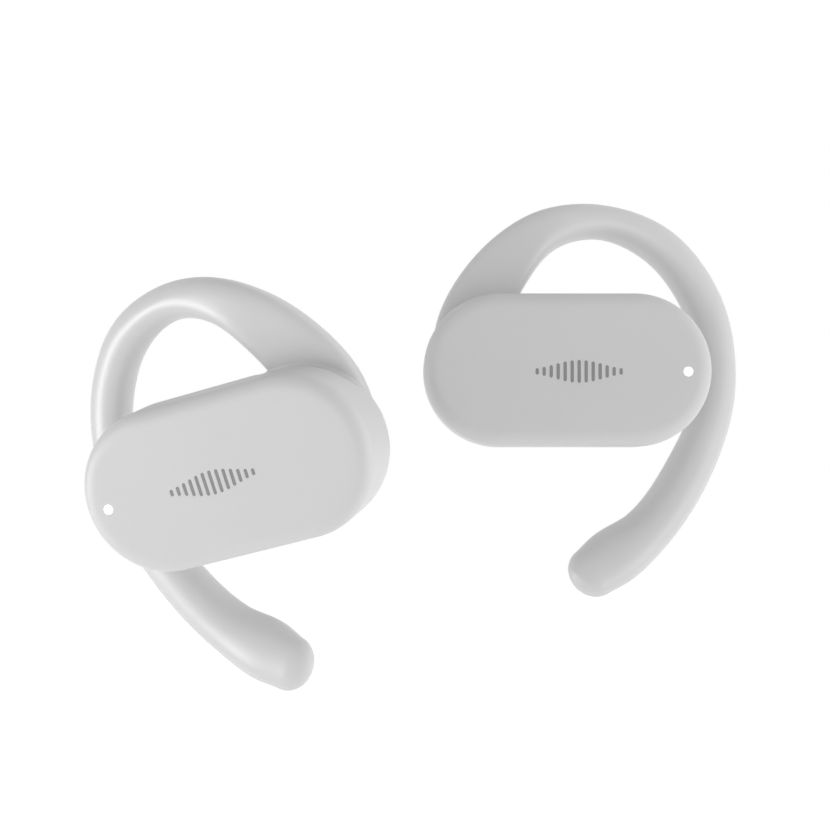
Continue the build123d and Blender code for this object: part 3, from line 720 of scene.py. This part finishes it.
# %% Plain finishes
FINISHES = {
    "cover": dict(colour=(0.62, 0.62, 0.62), roughness=0.5, metallic=0.1),
    "shell": dict(colour=(0.62, 0.62, 0.62), roughness=0.46, metallic=0.1),
    "sleeve": dict(colour=(0.62, 0.62, 0.62), roughness=0.36, metallic=0.1),
    "pad": dict(colour=(0.5, 0.5, 0.51), roughness=0.6, grain=0.08, bump=0.15),
    "mark": dict(colour=(0.27, 0.27, 0.27), roughness=0.5),
    "light": dict(colour=(0.93, 0.93, 0.93), roughness=0.3, grain=0.3, drift=0.03),
    "led": dict(colour=(0.86, 0.8, 0.45), roughness=0.25, grain=0.05, drift=0.05),
    "seal": dict(colour=(0.06, 0.06, 0.065), roughness=0.55, grain=0.06, bump=0.2, drift=0.1),
    "film": dict(colour=(0.7, 0.38, 0.07), roughness=0.35, grain=0.3, drift=0.06),
    "copper": dict(colour=(0.78, 0.42, 0.24), roughness=0.3, metallic=1, grain=0.05, drift=0.08),
    "board": dict(colour=(0.015, 0.13, 0.06), roughness=0.35, grain=0.2, drift=0.12),
    "chip": dict(colour=(0.035, 0.035, 0.037), roughness=0.6, grain=0.04, bump=0.3, drift=0.15),
    "screw": dict(colour=(0.16, 0.16, 0.17), roughness=0.4, metallic=0.9, grain=0.05, drift=0.15),
    "cell": dict(colour=(0.72, 0.73, 0.74), roughness=0.28, metallic=1, grain=0.4, bump=0.5,
                 drift=0.04),
    "can": dict(colour=(0.78, 0.77, 0.73), roughness=0.32, metallic=1, grain=0.08, drift=0.06),
    "gold": dict(colour=(0.95, 0.72, 0.33), roughness=0.2, metallic=1, grain=0.05, drift=0.04),
    "nickel": dict(colour=(0.75, 0.73, 0.7), roughness=0.16, metallic=1, grain=0.3, drift=0.04),
    "frame": dict(colour=(0.05, 0.05, 0.055), roughness=0.55, grain=0.1, bump=0.3, drift=0.15),
    "steel": dict(colour=(0.62, 0.62, 0.63), roughness=0.3, metallic=1, grain=0.06, drift=0.06),
    "iron": dict(colour=(0.55, 0.56, 0.58), roughness=0.38, metallic=1, grain=0.1, drift=0.08),
    "wire": dict(colour=(0.58, 0.56, 0.53), roughness=0.3, metallic=1, grain=0.03, drift=0.08),
    "foam": dict(colour=(0.09, 0.09, 0.09), roughness=0.9, grain=0.05, bump=0.4, drift=0.15),
}
made_finishes = {name: finish(f"{name}_finish", **numbers) for name, numbers in FINISHES.items()}
print("plain finishes:", len(made_finishes))

# %% [markdown]
# The light guide glows a little, as it does when the status lamp behind it is on. Both numbers
# are the same all over, so they are set on the shader itself.

# %% Glow of the light guide
GUIDE_GLOW = 0.7
guide = made_finishes["light"].node_tree.nodes["Principled BSDF"]
guide.inputs["Emission Color"].default_value = (1, 1, 1, 1)
guide.inputs["Emission Strength"].default_value = GUIDE_GLOW

# %% [markdown]
# Now the patterns. The touch film has diamond electrodes, the board has rows of traces and pads,
# the coil has windings a tenth of a millimetre apart, the cell has a crinkled foil with strips of
# tape, the zinc has its spangle, nylon shows short glass fibres, spring steel is brushed, and
# foam has pores.

# %% Patterned finishes
CHECKER, BRICK = "ShaderNodeTexChecker", "ShaderNodeTexBrick"
WAVE, CELLS = "ShaderNodeTexWave", "ShaderNodeTexVoronoi"
BANDS = 2 * pi / 20  # a wave texture's period at a scale of 1
DIAMONDS = (pi / 2, 0.0, pi / 4)
PATTERNS = {
    "film": (CHECKER, (0.8, 0.45, 0.26), (0.4, 0.6), {"Scale": 0.85}, DIAMONDS, 0.02),
    "board": (BRICK, (0.05, 0.3, 0.14), (0.2, 0.8), {"Scale": 1.1, "Mortar Size": 0.03},
              FLAT, 0.02),
    "coil": (WAVE, (0.42, 0.16, 0.08), (0.55, 0.95), {"bands_direction": "Y", "Scale": BANDS / 0.1},
             (0, 0, 0), -0.03),
    "cell": (WAVE, (0.62, 0.36, 0.07), (0.93, 0.95), {"bands_direction": "X", "Scale": BANDS / 5.5},
             (0, 0, 0), 0.03),
    "iron": (CELLS, (0.66, 0.67, 0.7), (0.2, 0.8), {"Scale": 1 / 0.5}, FLAT, 0.0),
    "frame": (WAVE, (0.1, 0.1, 0.105), (0.86, 0.98),
              {"bands_direction": "Z", "Scale": BANDS / 0.25, "Distortion": 14.0, "Detail": 3.0},
              FLAT, 0.005),
    "steel": (WAVE, (0.5, 0.5, 0.52), (0.3, 1.0),
              {"bands_direction": "X", "Scale": BANDS / 0.12, "Distortion": 3.0, "Detail": 4.0},
              (0, 0, 0), 0.004),
    "foam": (CELLS, (0.02, 0.02, 0.02), (0.25, 0.05), {"Scale": 1 / 0.14}, FLAT, -0.03),
    "chip": (CELLS, (0.07, 0.07, 0.07), (0.12, 0.02), {"Scale": 1 / 0.09}, FLAT, 0.0),
    "gold": (CELLS, (0.86, 0.62, 0.27), (0.1, 0.6), {"Scale": 1 / 0.12}, FLAT, 0.0),
}
BASES = {"coil": "copper"}
for side in SIDES:
    for name, (kind, second, edges, settings, turn, depth) in PATTERNS.items():
        plain = finish(f"{side}_{name}_finish", **FINISHES[BASES.get(name, name)])
        made_finishes[side, name] = overlay(plain, side, kind, second, edges, settings, turn, depth)
print("patterned finishes:", len(PATTERNS) * len(SIDES))

# %% [markdown]
# Every solid of the model, and every skin, gets its finish: the one with a pattern if there is
# one for its slot, and the plain one otherwise. Two nodes differ from the others of their slot:
# the coil is wound, and the gaskets of the microphones are foam.

# %% Paint everything
OWN_FINISH = {"voice_coil": "coil", "mic_gaskets": "foam"}
SKIN_FINISH = {"cover_skin": "cover", "shell_skin": "shell", "hook_skin": "sleeve",
               "mark_inlay": "mark", "pad_skin": "pad"}
slots = {part["node"]: part["material_slot"] for part in frame["record"]["subparts"]}


def paint(obj, side, name):
    obj.data.materials.clear()
    obj.data.materials.append(made_finishes.get((side, name)) or made_finishes[name])


for node, slot in slots.items():
    side, part = node.split("_", 1)
    paint(frame["nodes"][node], side, OWN_FINISH.get(part, slot))
for side in SIDES:
    for skin, name in SKIN_FINISH.items():
        paint(bpy.data.objects[f"{side}_{skin}"], side, name)
print("painted:", len(slots), "nodes and", len(SKIN_FINISH) * len(SIDES), "skins")

# %% [markdown]
# ## Studio
# The pair is lit as on a table of translucent white: soft light all round, a bright wall on the
# right, and weak boxes beside the table. The background is plain white.

# %% Camera
CAMERA_PLACE = (-0.02514, -0.22247, -0.03152)
CAMERA_TURN = (radians(92.01), 0, radians(-0.18))
camera_data = bpy.data.cameras.new("camera")
camera_data.sensor_width = 36
camera_data.lens = 71.95
camera = bpy.data.objects.new("camera", camera_data)
camera.location = CAMERA_PLACE
camera.rotation_euler = CAMERA_TURN
bpy.context.scene.collection.objects.link(camera)
bpy.context.scene.camera = camera
camera_data.clip_start = 0.01

# %% [markdown]
# The world has two strengths. What the camera sees past the pair is plain white, and so is what
# shows in metal and through glass. The light that falls on the pair is a tent instead: even and
# dim, so that a pale satin face keeps its grey, with a glow on the right that draws a bright line
# along every rounded edge. The X of a direction, raised to a power, keeps that glow to one side.

# %% World
TENT_LIGHT, GLOW_LIGHT, GLOW_POWER = 0.54, 4.2, 8


def shown_rays(tree):
    """1 for rays that show a surface, directly, mirrored or through glass, and 0 for its light."""
    path = tree.nodes.new("ShaderNodeLightPath")
    shown = path.outputs["Is Camera Ray"]
    for kind in ("Is Glossy Ray", "Is Transmission Ray"):
        either = tree.nodes.new("ShaderNodeMath")
        either.operation = "MAXIMUM"
        tree.links.new(shown, either.inputs[0])
        tree.links.new(path.outputs[kind], either.inputs[1])
        shown = either.outputs[0]
    return shown


world = bpy.data.worlds.new("light_tent")
bpy.context.scene.world = world
world.use_nodes = True
tent = world.node_tree
tent.nodes.clear()
output = tent.nodes.new("ShaderNodeOutputWorld")
seen = tent.nodes.new("ShaderNodeBackground")
seen.inputs["Color"].default_value = (1, 1, 1, 1)
lit = tent.nodes.new("ShaderNodeBackground")
lit.inputs["Color"].default_value = (1, 1, 1, 1)
mix = tent.nodes.new("ShaderNodeMixShader")
tent.links.new(shown_rays(tent), mix.inputs["Fac"])
tent.links.new(lit.outputs[0], mix.inputs[1])
tent.links.new(seen.outputs[0], mix.inputs[2])
tent.links.new(mix.outputs[0], output.inputs["Surface"])
around = tent.nodes.new("ShaderNodeTexCoord")
compass = tent.nodes.new("ShaderNodeSeparateXYZ")
tent.links.new(around.outputs["Generated"], compass.inputs[0])
towards = tent.nodes.new("ShaderNodeMath")
towards.operation = "POWER"
towards.inputs[1].default_value = GLOW_POWER
right = tent.nodes.new("ShaderNodeMath")
right.operation = "MAXIMUM"
right.inputs[1].default_value = 0
tent.links.new(compass.outputs["X"], right.inputs[0])
tent.links.new(right.outputs[0], towards.inputs[0])
level = tent.nodes.new("ShaderNodeMapRange")
level.inputs["To Min"].default_value = TENT_LIGHT
level.inputs["To Max"].default_value = GLOW_LIGHT
tent.links.new(towards.outputs[0], level.inputs["Value"])
tent.links.new(level.outputs["Result"], lit.inputs["Strength"])

# %% [markdown]
# The floor is a large pale sheet far enough below the pair to take only a faint shadow. It glows
# a little, as a table lit from below does, and a little more where it is seen than where it lights
# the pair, so that it meets the white background without an edge.

# %% Floor
FLOOR_DROP, FLOOR_HALF = 0.075, 1.5
FLOOR_COLOUR, FLOOR_LIGHT, FLOOR_SHOWN = (0.8, 0.8, 0.8, 1), 0.4, 0.56
floor_mesh = bpy.data.meshes.new("floor")
sheet = bmesh.new()
bmesh.ops.create_grid(sheet, x_segments=1, y_segments=1, size=FLOOR_HALF)
sheet.transform(Matrix.Translation((0, 0, cad_box[0][2] - FLOOR_DROP)))
sheet.to_mesh(floor_mesh)
sheet.free()
floor = bpy.data.objects.new("floor", floor_mesh)
bpy.context.scene.collection.objects.link(floor)
table = bpy.data.materials.new("light_table")
table.use_nodes = True
surface = table.node_tree
paper = surface.nodes["Principled BSDF"]
paper.inputs["Base Color"].default_value = FLOOR_COLOUR
paper.inputs["Roughness"].default_value = 0.9
paper.inputs["Specular IOR Level"].default_value = 0.1
paper.inputs["Emission Color"].default_value = (1, 1, 1, 1)
glow = surface.nodes.new("ShaderNodeMapRange")
glow.inputs["To Min"].default_value = FLOOR_LIGHT
glow.inputs["To Max"].default_value = FLOOR_SHOWN
surface.links.new(shown_rays(surface), glow.inputs["Value"])
surface.links.new(glow.outputs["Result"], paper.inputs["Emission Strength"])
floor.data.materials.append(table)

# %% [markdown]
# Three soft boxes finish the light: two on the left, one of them low, and one on the right. They
# are weak, because the tent already does most of the work.

# %% Lamps
BOX_SIZE = 0.15
BOXES = {  # place from the pair's middle in metres, and watts
    "low_left_box": ((-0.3, -0.05, -0.085), 0.3),
    "left_box": ((-0.28, -0.15, -0.05), 0.1),
    "right_box": ((0.265, -0.215, -0.04), 0.08),
}
middle = (Vector(cad_box[0]) + Vector(cad_box[1])) / 2
for name, (offset, power) in BOXES.items():
    data = bpy.data.lights.new(name, "AREA")
    data.shape = "SQUARE"
    data.size = BOX_SIZE
    data.energy = power
    lamp = bpy.data.objects.new(name, data)
    lamp.location = middle + Vector(offset)
    lamp.rotation_euler = (middle - lamp.location).to_track_quat("-Z", "Y").to_euler()
    bpy.context.scene.collection.objects.link(lamp)
print("lamps:", list(BOXES))

bpy.context.scene.view_settings.view_transform = "Standard"
